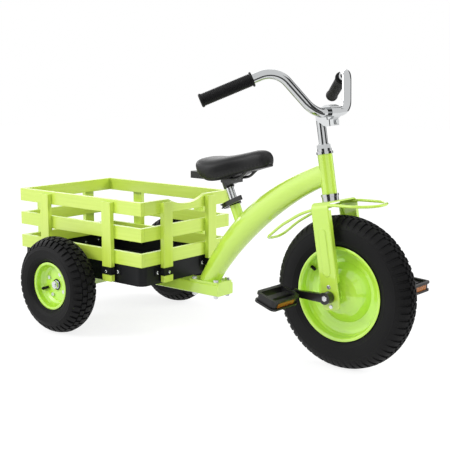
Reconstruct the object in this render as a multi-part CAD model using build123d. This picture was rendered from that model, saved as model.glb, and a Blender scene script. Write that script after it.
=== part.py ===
from build123d import *
import os
from math import acos, cos, hypot, pi, radians, sin, tan

os.makedirs("parts", exist_ok=True)

# Driving dimensions, millimetres. Floor at Z = 0, +X forward, +Y to the rider's left.
# The origin is under the middle of the overall length and width.
FRONT_R = 182.5
FRONT_X = 406.0
FRONT_Z = FRONT_R
REAR_R = 130.0
REAR_X = -351.0
REAR_Z = REAR_R
REAR_Y = 231.0
FRONT_LUGS = 62
REAR_LUGS = 40

HEAD_X = 350.0
HEAD_Z = 455.0
HEAD_LEAN = 9.6
HEAD_LOW = -45.3
HEAD_HIGH = 48.2
HEAD_OD = 35.0

SEAT_X = 66.5
SEAT_Z = 369.7
SEAT_LEAN = 24.0
SEAT_TUBE_LONG = 108.0

BAR_R = 11.1
BAR_MID = (357.0, 66.0, 600.0)
BAR_TOP = (305.8, 143.4, 697.4)
BAR_END = (187.6, 257.9, 629.7)
GRIP_FROM = 56.0

FORK_Y = 64.0
FORK_WIDE = 47.0
FORK_T = 3.5
CROWN_TOP = -61.0

CRANK_LONG = 88.0
PEDAL_Y0 = 99.0
PEDAL_Y1 = 197.0
PEDAL_LONG = 60.0
PEDAL_T = 24.0
PEDAL_WAIST = 4.0
PEDAL_CORNER = 12.0
PEDAL_RING = 8.5
PEDAL_BARREL = 7.5
PEDAL_SINK = 5.0
LENS_LONG = 62.0
PEDAL_PITCH = {"right": 18.7, "left": 3.6}

BEAM_FRONT = 39.0
BEAM_WIDE = 62.0
BEAM_LOW = 118.0
BEAM_HIGH = 148.0
PLATE_T = 6.0

CRATE_REAR = -571.0
CRATE_FRONT = -92.0
CRATE_Y = 173.0
SLAT_T = 12.0
SLAT_H = 35.0
SLAT_LOWS = (199.0, 264.5, 331.0)
POST_WIDE = 34.0
POST_T = 13.5
POST_LOW = 152.0
POST_HIGH = 360.0
SIDE_POST_X = (-453.5, -207.5)
END_POST_Y = (-87.0, 87.0)
TRAY_INSET = 3.5
TRAY_HIGH = 199.0
TRAY_T = 1.5
STRAP_T = 1.6
STRAP_LOW = 170.0
STRAP_HIGH = 190.0
STRAP_BOLT = 26.0
STRAP_Z = 178.0

X_AXIS = (1, 0, 0)
Y_AXIS = (0, 1, 0)
Z_AXIS = (0, 0, 1)


def cyl(p, d, r, h):
    """Cylinder of radius r and length h that starts at p and runs along d."""
    return Plane(origin=p, z_dir=d) * Cylinder(r, h, align=(Align.CENTER, Align.CENTER, Align.MIN))


def tube(p, d, outer, inner, h):
    """Hollow cylinder that starts at p and runs along d."""
    return cyl(p, d, outer, h) - cyl(p, d, inner, h)


def hexagon(p, d, flats, h):
    """Hexagonal prism, measured across flats, that starts at p and runs along d."""
    return extrude(Plane(origin=p, z_dir=d) * RegularPolygon(flats / 2, 6, major_radius=False), h)


def block(x0, x1, y0, y1, z0, z1):
    """Box between two corners."""
    return Pos((x0 + x1) / 2, (y0 + y1) / 2, (z0 + z1) / 2) * Box(x1 - x0, y1 - y0, z1 - z0)


def sheet(points, t):
    """Outline of a strip of thickness t on the left of a line of points."""
    left = []
    for i, (x, y) in enumerate(points):
        normals = []
        for j in (i - 1, i):
            if 0 <= j < len(points) - 1:
                dx = points[j + 1][0] - points[j][0]
                dy = points[j + 1][1] - points[j][1]
                normals.append((-dy / hypot(dx, dy), dx / hypot(dx, dy)))
        nx = sum(n[0] for n in normals) / len(normals)
        ny = sum(n[1] for n in normals) / len(normals)
        k = t / (nx * nx + ny * ny)
        left.append((x + nx * k, y + ny * k))
    return list(points) + left[::-1]


def turned(face, x, y, z, arc=360):
    """Solid of revolution about the Y direction, from straight ahead; the face is drawn as (radius, Y)."""
    plane = Plane(origin=(x, y, z), x_dir=X_AXIS, z_dir=Z_AXIS)
    return revolve(plane * face, Axis((x, y, z), Y_AXIS), arc)


def outline(points):
    """Face inside a closed line of points."""
    return make_face(Polyline(*points, close=True))


def bent(points, radii):
    """Wire through the points, with each inner corner rounded to its radius."""
    pts = [Vector(*p) for p in points]
    edges = []
    start = pts[0]
    for a, b, c, r in zip(pts, pts[1:], pts[2:], radii):
        u = (a - b).normalized()
        v = (c - b).normalized()
        half = acos(u.dot(v)) / 2
        p = b + u * (r / tan(half))
        q = b + v * (r / tan(half))
        m = b + (u + v).normalized() * (r / sin(half) - r)
        edges.append(Line(start, p))
        edges.append(ThreePointArc(p, m, q))
        start = q
    edges.append(Line(start, pts[-1]))
    return Wire([e.edge() for e in edges])


def rod(path, r):
    """Round rod of radius r along a wire."""
    return sweep(Plane(origin=path @ 0, z_dir=path % 0) * Circle(r), path=path)


def save(name, *bodies):
    """Write one named piece; a group keeps its solids separate."""
    solids = []
    for body in bodies:
        solids.extend(body.solids())
    shape = solids[0] if len(solids) == 1 else Compound(children=solids)
    export_step(shape, f"parts/{name}.step")


# Local frames: along the steering axis and along the seat tube. In both, local X is
# forward, local Y is to the left and local Z runs up the tube.
HEAD_D = (-sin(radians(HEAD_LEAN)), 0, cos(radians(HEAD_LEAN)))
HEAD_F = (cos(radians(HEAD_LEAN)), 0, sin(radians(HEAD_LEAN)))
HEAD = Plane(origin=(HEAD_X, 0, HEAD_Z), x_dir=HEAD_F, z_dir=HEAD_D)
SEAT_D = (-sin(radians(SEAT_LEAN)), 0, cos(radians(SEAT_LEAN)))
SEAT_F = (cos(radians(SEAT_LEAN)), 0, sin(radians(SEAT_LEAN)))
SEAT = Plane(origin=(SEAT_X, 0, SEAT_Z), x_dir=SEAT_F, z_dir=SEAT_D)
AXLE_F = (FRONT_X - HEAD_X) * HEAD_F[0] + (FRONT_Z - HEAD_Z) * HEAD_F[2]
AXLE_T = (FRONT_X - HEAD_X) * HEAD_D[0] + (FRONT_Z - HEAD_Z) * HEAD_D[2]

# Head tube with its two pressed headset cups.
head_tube = HEAD * tube((0, 0, HEAD_LOW), Z_AXIS, HEAD_OD / 2, 15.1, HEAD_HIGH - HEAD_LOW)
save("head_tube", head_tube)
low_cup = tube((0, 0, HEAD_LOW - 6), Z_AXIS, 21.5, 13.6, 6) + tube((0, 0, HEAD_LOW), Z_AXIS, 15.08, 13.6, 10)
top_cup = tube((0, 0, HEAD_HIGH), Z_AXIS, 20, 13.6, 6) + tube((0, 0, HEAD_HIGH - 10), Z_AXIS, 15.08, 13.6, 10)
save("headset_cups", HEAD * low_cup, HEAD * top_cup)

# Seat tube, which passes through the top wall of the backbone.
seat_tube = SEAT * tube((0, 0, -SEAT_TUBE_LONG), Z_AXIS, 13.5, 11.15, SEAT_TUBE_LONG)
save("seat_tube", seat_tube)

# Backbone: an oval tube on one bend, fuller in the middle than at its two ends.
spine = ThreePointArc((HEAD_X + 1, 0, 458), (144.1, 0, 336.3), (-15.5, 0, 148))
stations = ((0.0, 26.0, 16.5), (0.22, 29.5, 21.0), (0.45, 33.0, 26.0), (0.7, 31.5, 26.5), (1.0, 27.0, 25.0))
skins = []
for wall in (0.0, 2.5):
    rings = []
    for at, tall, wide in stations:
        plane = Plane(origin=spine @ at, x_dir=Y_AXIS, z_dir=spine % at)
        rings.append(plane * Ellipse(wide - wall, tall - wall))
    skins.append(loft(rings))
backbone = skins[0] - skins[1]
backbone -= HEAD * cyl((0, 0, -90), Z_AXIS, HEAD_OD / 2, 180)
backbone -= block(HEAD_X - 5, HEAD_X + 60, -40, 40, 380, 540)
backbone -= SEAT * cyl((0, 0, -SEAT_TUBE_LONG - 1), Z_AXIS, 13.5, SEAT_TUBE_LONG + 2)
backbone -= block(-120, 80, -60, 60, 100, BEAM_HIGH + PLATE_T)
save("backbone_tube", max(backbone.solids(), key=lambda s: s.volume))

# Chassis beam, closed at the front, and the foot plate bolted on top of it.
bolt_xy = [(x, y) for x in (-46.0, 27.0) for y in (-22.5, 22.5)]
tray_xy = [(-150.0, 0.0), (-285.0, 0.0)]
beam = block(REAR_X + 18, BEAM_FRONT, -BEAM_WIDE / 2, BEAM_WIDE / 2, BEAM_LOW, BEAM_HIGH)
beam = fillet(beam.edges().filter_by(Axis.X), 3)
beam -= block(REAR_X + 18, BEAM_FRONT - 2, -BEAM_WIDE / 2 + 2, BEAM_WIDE / 2 - 2, BEAM_LOW + 2, BEAM_HIGH - 2)
plate = block(-61, BEAM_FRONT, -29.5, 29.5, BEAM_HIGH, BEAM_HIGH + PLATE_T)
plate = fillet(plate.edges().filter_by(Axis.Z), 5)
for x, y in bolt_xy:
    hole = cyl((x, y, 100), Z_AXIS, 4.05, 70)
    beam -= hole
    plate -= hole
for x, y in tray_xy:
    beam -= cyl((x, y, 100), Z_AXIS, 3.05, 70)
save("chassis_beam", beam)
save("foot_plate", plate)

# Rear axle: square cross tube with closed ends, solid axle, spacers, washers and nuts.
cross = block(REAR_X - 18, REAR_X + 18, -165, 165, 112, BEAM_HIGH)
cross = fillet(cross.edges().filter_by(Axis.Y), 3)
cross -= block(REAR_X - 15.5, REAR_X + 15.5, -161, 161, 114.5, BEAM_HIGH - 2.5)
cross -= cyl((REAR_X, -200, REAR_Z), Y_AXIS, 8.02, 400)
cross_xy = [(REAR_X, -110.0), (REAR_X, 110.0)]
for x, y in cross_xy:
    cross -= cyl((x, y, 141), Z_AXIS, 3.05, 10)
save("axle_cross_tube", cross)
axle = cyl((REAR_X, -234, REAR_Z), Y_AXIS, 8, 468)
axle += cyl((REAR_X, -246, REAR_Z), Y_AXIS, 6, 492)
save("rear_axle", axle)
hardware = []
for s in (-1, 1):
    out = (0, s, 0)
    hardware.append(tube((REAR_X, s * 165, REAR_Z), out, 11, 8.04, 32.2))
    hardware.append(tube((REAR_X, s * 234, REAR_Z), out, 11.5, 6.04, 1.6))
    hardware.append(hexagon((REAR_X, s * 235.6, REAR_Z), out, 19, 7.5) - cyl((REAR_X, s * 230, REAR_Z), out, 6.04, 20))
save("axle_hardware", *hardware)

# Cargo tray: pressed steel with rounded corners, a floor and a rolled inner rim.
tray_x0 = CRATE_REAR + TRAY_INSET
tray_x1 = CRATE_FRONT - TRAY_INSET
tray_y = CRATE_Y - TRAY_INSET
tray_mid = (tray_x0 + tray_x1) / 2
tray_long = tray_x1 - tray_x0


def tray_shape(inset, z0, z1):
    """Rounded rectangular block inside the tray's outer wall."""
    plan = RectangleRounded(tray_long - 2 * inset, 2 * tray_y - 2 * inset, 20 - inset)
    return Pos(tray_mid, 0, z0) * extrude(plan, z1 - z0)


tray = tray_shape(0, BEAM_HIGH, TRAY_HIGH) - tray_shape(TRAY_T, BEAM_HIGH + TRAY_T, TRAY_HIGH)
tray += tray_shape(0, TRAY_HIGH - 2, TRAY_HIGH) - tray_shape(9, TRAY_HIGH - 2, TRAY_HIGH)

# Wall frames: local X runs along the wall, local Y points out, local Z is up.
walls = [(x, -tray_y, 180) for x in SIDE_POST_X] + [(x, tray_y, 0) for x in SIDE_POST_X]
walls += [(tray_x1, y, -90) for y in END_POST_Y] + [(tray_x0, y, 90) for y in END_POST_Y]
places = [Location((x, y, 0), (0, 0, turn)) for x, y, turn in walls]
tray_out = TRAY_INSET + POST_T
half = POST_WIDE / 2 + 0.2
hat = [(-36, 0), (-half, 0), (-half, tray_out), (half, tray_out), (half, 0), (36, 0)]
hat += [(36, STRAP_T), (half + STRAP_T, STRAP_T), (half + STRAP_T, tray_out + STRAP_T)]
hat += [(-half - STRAP_T, tray_out + STRAP_T), (-half - STRAP_T, STRAP_T), (-36, STRAP_T)]
strap = Pos(0, 0, STRAP_LOW) * extrude(outline(hat), STRAP_HIGH - STRAP_LOW)
post = block(-POST_WIDE / 2, POST_WIDE / 2, TRAY_INSET, tray_out, POST_LOW, POST_HIGH)
post = fillet(post.edges().filter_by(Axis.Z), 1.5)
post -= cyl((0, tray_out - 11, STRAP_Z), Y_AXIS, 2.05, 12)
strap -= cyl((0, tray_out - 1, STRAP_Z), Y_AXIS, 2.05, 4)
screw = cyl((0, tray_out - 10, STRAP_Z), Y_AXIS, 2, 10 + STRAP_T)
dome = cyl((0, tray_out + STRAP_T, STRAP_Z), Y_AXIS, 4, 2.4)
screw += fillet(dome.edges().sort_by(Axis.Y)[-1:], 1.6)
bolts = []
for side in (-1, 1):
    at = side * STRAP_BOLT
    strap -= cyl((at, -1, STRAP_Z), Y_AXIS, 2.55, 4)
    head = cyl((at, STRAP_T, STRAP_Z), Y_AXIS, 5, 3)
    head = fillet(head.edges().sort_by(Axis.Y)[-1:], 2)
    bolts.append(head + cyl((at, -TRAY_T - 6, STRAP_Z), Y_AXIS, 2.5, 6 + TRAY_T + STRAP_T))
    nut = hexagon((at, -TRAY_T - 4, STRAP_Z), Y_AXIS, 8, 4) - cyl((at, -9, STRAP_Z), Y_AXIS, 2.54, 12)
    bolts.append(nut)
for place in places:
    for side in (-1, 1):
        tray -= place * cyl((side * STRAP_BOLT, -6, STRAP_Z), Y_AXIS, 2.55, 8)
save("cargo_tray", tray)
save("strap_brackets", *[place * strap for place in places])
save("strap_bolts", *[place * one for place in places for one in bolts + [screw]])
save("side_posts", *[place * post for place in places[:4]])
save("end_posts", *[place * post for place in places[4:]])

# Crate slats: long side boards, end boards between them, a scoop in the front top board.
inner_y = CRATE_Y - SLAT_T
for name, s in (("right_slats", -1), ("left_slats", 1)):
    y0, y1 = sorted((s * inner_y, s * CRATE_Y))
    boards = [block(CRATE_REAR, CRATE_FRONT, y0, y1, z, z + SLAT_H) for z in SLAT_LOWS]
    save(name, *[fillet(b.edges(), 1) for b in boards])
for name, x0, scoop in (("front_slats", CRATE_FRONT - SLAT_T, True), ("rear_slats", CRATE_REAR, False)):
    boards = []
    for z in SLAT_LOWS:
        board = block(x0, x0 + SLAT_T, -inner_y, inner_y, z, z + SLAT_H)
        board = fillet(board.edges(), 1)
        if scoop and z == SLAT_LOWS[-1]:
            top = z + SLAT_H
            arc = ThreePointArc((-72, top), (0, top - 18), (72, top))
            cut = make_face([arc, Polyline((72, top), (72, top + 5), (-72, top + 5), (-72, top))])
            board -= extrude(Plane(origin=(x0 - 2, 0, 0), x_dir=Y_AXIS, z_dir=X_AXIS) * cut, SLAT_T + 4)
        boards.append(board)
    save(name, *boards)

# Frame bolts: four through the foot plate and beam, and four studs welded under the tray floor.
fasteners = []
for x, y in bolt_xy:
    z = BEAM_HIGH + PLATE_T
    head = hexagon((x, y, z + 1.2), Z_AXIS, 12, 5) + cyl((x, y, z), Z_AXIS, 7, 1.2)
    fasteners.append(head + cyl((x, y, BEAM_LOW - 8), Z_AXIS, 4, z - BEAM_LOW + 8))
    fasteners.append(hexagon((x, y, BEAM_LOW - 6), Z_AXIS, 12, 6) - cyl((x, y, BEAM_LOW - 9), Z_AXIS, 4.04, 12))
for x, y in tray_xy + cross_xy:
    low = BEAM_LOW - 7 if x != REAR_X else 138.5
    seat = BEAM_LOW - 5 if x != REAR_X else 140.5
    fasteners.append(cyl((x, y, low), Z_AXIS, 3, BEAM_HIGH - low))
    fasteners.append(hexagon((x, y, seat), Z_AXIS, 10, 5) - cyl((x, y, seat - 1), Z_AXIS, 3.04, 8))
save("frame_bolts", *fasteners)

# Seat clamp collar with its quick-release skewer, and the lever on its right end.
SKEWER_F = -25.0
SKEWER_T = -6.0
collar = cyl((0, 0, -13), Z_AXIS, 17.5, 14) + block(SKEWER_F - 6, -8, -9, 9, -13, 1)
collar -= cyl((0, 0, -20), Z_AXIS, 13.52, 40)
collar -= block(-40, -8, -1.5, 1.5, -20, 10)
collar -= cyl((SKEWER_F, -20, SKEWER_T), Y_AXIS, 2.55, 40)
skewer = cyl((SKEWER_F, -15.5, SKEWER_T), Y_AXIS, 2.5, 31)
skewer += cyl((SKEWER_F, -15.5, SKEWER_T - 6), Z_AXIS, 3, 12)
knob = cyl((SKEWER_F, 9, SKEWER_T), Y_AXIS, 6.5, 8)
knob = fillet(knob.edges().sort_by(Axis.Y)[-1:], 2) - cyl((SKEWER_F, 0, SKEWER_T), Y_AXIS, 2.54, 30)
save("seat_collar", SEAT * collar, SEAT * skewer, SEAT * knob)
cam = cyl((SKEWER_F, -15.5, SKEWER_T - 6), Z_AXIS, 6, 12)
plan = [(SKEWER_F + 2, -12.5), (SKEWER_F + 8, -15.5), (SKEWER_F + 20, -20.4), (SKEWER_F + 48, -23.5)]
plan += [(SKEWER_F + 74, -22.5), (SKEWER_F + 74, -27.5), (SKEWER_F + 48, -28.5), (SKEWER_F + 20, -26)]
plan += [(SKEWER_F + 9, -22), (SKEWER_F + 2, -20)]
arm = Pos(0, 0, SKEWER_T - 6) * extrude(outline(plan), 12)
arm = fillet(arm.edges().filter_by(Axis.Z).sort_by(Axis.X)[-2:], 2)
lever = cam + arm
lever -= cyl((SKEWER_F, -15.5, SKEWER_T - 10), Z_AXIS, 3.05, 20)
lever -= block(SKEWER_F - 8, SKEWER_F + 2.9, -24, -5, SKEWER_T - 2.9, SKEWER_T + 2.9)
save("quick_release_lever", SEAT * lever)

# Seat: post, clamp, wire rails, moulded base with its tail block, padded cover.
post_top = 44.0
seat_post = cyl((0, 0, -90), Z_AXIS, 11.1, 90 + post_top)
seat_post -= cyl((0, 0, -90), Z_AXIS, 9.3, 86 + post_top)
save("seat_post", SEAT * seat_post)
rail_line = [(-8, 447), (22, 425), (86, 427), (104, 431), (138, 460)]
rails = []
for s in (-1, 1):
    rails.append(rod(bent([(x, s * 20, z) for x, z in rail_line], (14, 60, 40)), 3.5))
sections = [(-20, 40, 452, 466), (-12, 55, 446, 474), (8, 68, 430, 478), (38, 71, 425, 480), (70, 60, 431.5, 484)]
sections += [(100, 43, 443, 490), (130, 32, 452, 497), (156, 27, 459.5, 501), (172, 22.5, 463.5, 498)]
sections += [(183, 15, 467, 486)]
SADDLE_HALF = ((0.86, 0), (0.965, 0.2), (1, 0.42), (0.92, 0.72), (0.66, 0.9))
rings = []
pans = []
for x, w, z0, z1 in sections:
    plane = Plane(origin=(x, 0, 0), x_dir=Y_AXIS, z_dir=X_AXIS)
    tall = z1 - z0
    hem, waist, belly, shoulder, brow = [(k * w, z0 + t * tall) for k, t in SADDLE_HALF]
    crown = ThreePointArc(brow, (0, z1), (-brow[0], brow[1]))
    edges = [Line((-hem[0], hem[1]), hem), crown]
    for k in (-1, 1):
        low = [(k * y, z) for y, z in (hem, waist, belly)]
        high = [(k * y, z) for y, z in (belly, shoulder, brow)]
        edges += [ThreePointArc(*low), ThreePointArc(*high)]
    rings.append(plane * make_face(edges))
    pans.append(plane * (Pos(0, z0 - 1.5) * Rectangle(1.5 * w, 5)))
pad = loft(rings)
save("saddle_pad", pad)
base = loft(pans)
tail = block(-64, 14, -20, 20, 419, 437)
tail = fillet(tail.edges().filter_by(Axis.Z), 5)
base = base + tail
clamp = SEAT * (cyl((0, 0, 33), Z_AXIS, 14, 21) + block(0, 27, -13, 13, 38, 54))
clamp -= SEAT * cyl((0, 0, 0), Z_AXIS, 11.12, post_top)
clamp -= SEAT * cyl((0, 0, post_top), Z_AXIS, 7, 20)
ears = block(44, 78, -23.5, 23.5, 415, 430)
clamp = clamp + ears - pad - base
for one in rails:
    clamp -= one
    base -= one
base -= pad
rails = [one - pad for one in rails]
save("saddle_rails", *[max(one.solids(), key=lambda s: s.volume) for one in rails])
save("saddle_base", max(base.solids(), key=lambda s: s.volume))
save("saddle_clamp", max(clamp.solids(), key=lambda s: s.volume))

# Fork: one pressed strap bent into an upside-down U, with turned edges and a rib on each leg.
fork_low = AXLE_T - 32
tall = CROWN_TOP - fork_low
arch = Rectangle(2 * FORK_Y, tall, align=(Align.CENTER, Align.MIN))
arch = fillet(arch.vertices().sort_by(Axis.Y)[-2:], 15)
room = Rectangle(2 * (FORK_Y - FORK_T), tall - FORK_T, align=(Align.CENTER, Align.MIN))
room = fillet(room.vertices().sort_by(Axis.Y)[-2:], 15 - FORK_T)
back = AXLE_F - FORK_WIDE / 2
fork = extrude(Plane(origin=(back, 0, fork_low), x_dir=Y_AXIS, z_dir=X_AXIS) * (arch - room), FORK_WIDE)
for s in (-1, 1):
    for f0 in (back, back + FORK_WIDE - FORK_T):
        y0, y1 = sorted((s * (FORK_Y - 12), s * (FORK_Y - FORK_T)))
        fork += block(f0, f0 + FORK_T, y0, y1, -246, -80)
    slot = Plane(origin=(AXLE_F, s * FORK_Y, -176), x_dir=Z_AXIS, z_dir=(0, s, 0)) * SlotOverall(112, 20)
    fork += extrude(slot, 2.5, taper=30)
    fork -= cyl((AXLE_F, s * (FORK_Y - 8), AXLE_T), (0, s, 0), 10, 12)
    for dt in (-23, 23):
        fork -= cyl((AXLE_F, s * (FORK_Y - 8), AXLE_T + dt), (0, s, 0), 3.05, 12)
fork -= cyl((0, 0, CROWN_TOP - 10), Z_AXIS, 12.72, 20)
fork_low_edges = fork.edges().filter_by(Axis.Y).sort_by(Axis.Z)[:4]
fork = fillet(fork_low_edges, 12)
fork_edges = fork.edges().filter_by(Axis.Z).filter_by(lambda e: abs(abs(e.center().Y) - FORK_Y) < 0.01)
fork = fillet(fork_edges, 2.5)
save("fork", HEAD * fork)

# Steerer tube, headset cones and locknut.
steerer = tube((0, 0, CROWN_TOP - FORK_T), Z_AXIS, 12.7, 11.15, 72 - CROWN_TOP + FORK_T)
save("steerer_tube", HEAD * steerer)
race = tube((0, 0, CROWN_TOP), Z_AXIS, 20, 12.74, 9.3)
cone = tube((0, 0, HEAD_HIGH + 6.4), Z_AXIS, 17, 12.74, 6.4)
nut = hexagon((0, 0, HEAD_HIGH + 12.8), Z_AXIS, 32, 9) - cyl((0, 0, 50), Z_AXIS, 12.74, 40)
save("headset_cones", HEAD * race, HEAD * cone, HEAD * nut)

# Quill stem: a forward clamp around the bar, split below and closed by a pinch bolt.
CLAMP_F = (BAR_MID[0] - HEAD_X) * HEAD_F[0] + (BAR_MID[2] - HEAD_Z) * HEAD_F[2]
CLAMP_T = (BAR_MID[0] - HEAD_X) * HEAD_D[0] + (BAR_MID[2] - HEAD_Z) * HEAD_D[2]
stem = cyl((0, 0, -12), Z_AXIS, 11.1, 152)
stem += Pos(0, 0, 140) * Sphere(11.1)
neck = outline([(-6, 128), (-4, 149), (CLAMP_F, CLAMP_T + 17), (CLAMP_F, 112), (14, 112), (8, 118)])
stem += extrude(Plane(origin=(0, 11, 0), x_dir=X_AXIS, z_dir=(0, -1, 0)) * neck, 22)
stem += cyl((CLAMP_F, -19, CLAMP_T), Y_AXIS, 17, 38)
stem += block(CLAMP_F - 13, CLAMP_F + 11, -11, 11, 110, CLAMP_T)
stem -= cyl((CLAMP_F, -25, CLAMP_T), Y_AXIS, BAR_R + 0.02, 50)
stem -= block(CLAMP_F - 1.2, CLAMP_F + 1.2, -25, 25, 100, CLAMP_T)
stem -= cyl((CLAMP_F - 9, 0, 118.5), X_AXIS, 3.05, 30)
stem -= cyl((0, 0, -20), Z_AXIS, 4.05, 180)
stem -= cyl((0, 0, 151.2), Z_AXIS, 7, 15)
stem = max(stem.solids(), key=lambda s: s.volume)
save("handlebar_stem", HEAD * stem)
pinch = cyl((CLAMP_F - 8.9, 0, 118.5), X_AXIS, 3, 19.9) + hexagon((CLAMP_F + 11, 0, 118.5), X_AXIS, 10, 5)
draw = cyl((0, 0, -26), Z_AXIS, 4, 177.2) + cyl((0, 0, 151.2), Z_AXIS, 6.5, 5)
wedge = cyl((0, 0, -26), Z_AXIS, 11, 13.9) - cyl((0, 0, -30), Z_AXIS, 4.04, 30)
save("stem_bolts", HEAD * pinch, HEAD * draw, HEAD * wedge)

# Handlebar: one bent chrome tube, with a rubber grip on each end.
line = []
for s, order in ((-1, (BAR_END, BAR_TOP, BAR_MID)), (1, (BAR_MID, BAR_TOP, BAR_END))):
    line += [(x, s * y, z) for x, y, z in order]
bar_path = bent(line, (55, 60, 60, 55))
bar = rod(bar_path, BAR_R) - rod(bar_path, BAR_R - 1.7)
save("handlebar", bar)
for name, s in (("right_grip", -1), ("left_grip", 1)):
    top = Vector(BAR_TOP[0], s * BAR_TOP[1], BAR_TOP[2])
    end = Vector(BAR_END[0], s * BAR_END[1], BAR_END[2])
    way = (end - top).normalized()
    long = (end - top).length - GRIP_FROM
    start = top + way * GRIP_FROM
    grip = cyl(start, way, 14.2, long + 3) + cyl(start, way, 17, 4) + cyl(end - way * 2, way, 15.8, 6)
    grip -= cyl(start - way, way, BAR_R + 0.03, long + 1)
    save(name, grip)

# Wire guards ahead of and behind the fork crown, welded to it.
front_line = [(388, -58, 392), (404, -58, 393.5), (500, -58, 396), (500, 58, 396), (404, 58, 393.5), (388, 58, 392)]
rear_line = [(366, -33, 384.5), (300, -33, 362), (243, -33, 328), (195, -33, 289)]
rear_line += [(x, -y, z) for x, y, z in rear_line[::-1]]
placed_fork = HEAD * fork
front_guard = rod(bent(front_line, (20, 54, 54, 20)), 3.5) - placed_fork
rear_guard = rod(bent(rear_line, (200, 200, 22, 22, 200, 200)), 3.5) - placed_fork
save("front_guard", max(front_guard.solids(), key=lambda s: s.volume))
save("rear_guard", max(rear_guard.solids(), key=lambda s: s.volume))

# Bearing blocks inside the fork ends, each held by two bolts.
bearings = []
bolts = []
for s in (-1, 1):
    out = (0, s, 0)
    inner = s * (FORK_Y - FORK_T)
    y0, y1 = sorted((inner, inner - s * 4))
    one = block(AXLE_F - 17, AXLE_F + 17, y0, y1, AXLE_T - 31, AXLE_T + 31)
    one = fillet(one.edges().filter_by(Axis.Y), 8)
    one += cyl((AXLE_F, inner - s * 9, AXLE_T), out, 14, 9) + cyl((AXLE_F, inner, AXLE_T), out, 9.95, FORK_T)
    one -= cyl((AXLE_F, inner - s * 20, AXLE_T), out, 7.05, 30)
    for dt in (-23, 23):
        at = AXLE_T + dt
        one -= cyl((AXLE_F, inner - s * 10, at), out, 3.05, 20)
        bolt = cyl((AXLE_F, inner - s * 10, at), out, 3, 10 + FORK_T)
        head = cyl((AXLE_F, s * FORK_Y, at), out, 5, 2.4)
        bolts.append(HEAD * (bolt + fillet(head.faces().sort_by(Axis.Y)[-1 if s > 0 else 0].edges(), 1.5)))
        nut = hexagon((AXLE_F, inner - s * 8, at), out, 10, 4) - cyl((AXLE_F, inner - s * 12, at), out, 3.04, 20)
        bolts.append(HEAD * nut)
    bearings.append(HEAD * one)
save("spindle_bearings", *bearings)
save("bearing_bolts", *bolts)


def mirrored(points):
    """A half profile and its mirror image as one line, from -Y to +Y."""
    return [(r, -y) for r, y in points] + [(r, y) for r, y in points[::-1]][1:]


def slot_face(skin, start, end, depths):
    """Section of a tread slot from start to end along the skin, measured from the crown. Its round floor
    has the three depths at its start, middle and end; a depth below zero runs out above the skin."""
    floor = []
    clear = []
    for k, depth in zip((0, 0.5, 1), depths):
        at = skin.length / 2 + start + (end - start) * k
        point = skin.position_at(at, PositionMode.LENGTH)
        along = skin.tangent_at(at, PositionMode.LENGTH)
        up = Vector(along.Y, -along.X)
        floor.append(point - up * depth)
        clear.append(point + up * 3)
    return make_face([ThreePointArc(*floor), Polyline(floor[2], *clear[::-1], floor[0])])


def tyre_body(outer, inner, bead, lugs, rows):
    """Tyre about the Y axis at the origin: a ring between two skins, a bead on each edge, and rows of
    tread slots (start, end, depths, fill), where the lugs fill that share of the pitch."""
    skin = Spline(*mirrored(outer))
    lining = mirrored(inner)
    edges = [skin, Line(skin @ 1, lining[-1]), Spline(*lining[::-1]), Line(lining[0], skin @ 0)]
    body = turned(make_face(edges), 0, 0, 0)
    for k in (-1, 1):
        body += turned(outline([(r, k * y) for r, y in bead]), 0, 0, 0)
    pitch = 360 / lugs
    slots = []
    for start, end, depths, fill in rows:
        gap = pitch * (1 - fill)
        slot = turned(slot_face(skin, start, end, depths), 0, 0, 0, gap)
        slots += [Rot(0, pitch * i - gap / 2, 0) * slot for i in range(lugs)]
    return body - slots


def tube_face(points, wall):
    """Ring section of an inner tube from half of its outline."""
    ring = mirrored(points)
    mid = (points[0][0] + points[-1][0]) / 2
    outer = make_face([Spline(*ring), Line(ring[-1], ring[0])])
    k = 1 - wall / ((points[-1][0] - points[0][0]) / 2)
    ring = [(mid + (r - mid) * k, y * k) for r, y in ring]
    return outer - make_face([Spline(*ring), Line(ring[-1], ring[0])])


def on_wheel(angle, r):
    """Offsets along X and Z of a point at an angle from forward towards up."""
    return r * cos(radians(angle)), r * sin(radians(angle))


# Front wheel: tyre with shoulder lugs, inner tube with its valve, two pressed rim halves on a hub sleeve.
outer = [(113, 28.5), (122, 34), (138, 37.6), (153, 37), (166, 32.4), (176.5, 21.5), (181.2, 9), (182.5, 0)]
inner = [(113, 22.5), (124, 28.8), (138, 31.8), (152, 31), (162.5, 26.8), (171, 17.5), (174.6, 8), (175.6, 0)]
bead = [(105.9, 20.5), (105.9, 26), (108.5, 28.5), (113, 28.5), (113, 22.5)]
rows = [(k * 12, k * 47, (3.0, 2.5, -0.2), 0.6) for k in (-1, 1)]
front_tyre = tyre_body(outer, inner, bead, FRONT_LUGS, rows)
save("front_tyre", Pos(FRONT_X, 0, FRONT_Z) * front_tyre)
rim_line = [(112.2, 31.4), (108.8, 32), (105.6, 31), (103.8, 28.4), (103.4, 25), (102.6, 13), (98, 6.6), (89, 3.6)]
rim_line += [(80, 2), (72, 2), (66.5, 7.5), (58, 16.8), (47, 25.6), (34, 32.2), (24, 35.2), (15.05, 36.6)]
rim_half = turned(outline(sheet(rim_line, 2)), FRONT_X, 0, FRONT_Z)
other_half = turned(outline(sheet([(r, -y) for r, y in rim_line[::-1]], 2)), FRONT_X, 0, FRONT_Z)
VALVE_F = 150.0
dx, dz = on_wheel(VALVE_F, 112)
ux, uz = on_wheel(VALVE_F, 1)
valve = cyl((FRONT_X + dx, -11, FRONT_Z + dz), (-ux, 0, -uz), 4, 22)
hole = cyl((FRONT_X + dx, -11, FRONT_Z + dz), (-ux, 0, -uz), 4.4, 34)
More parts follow.
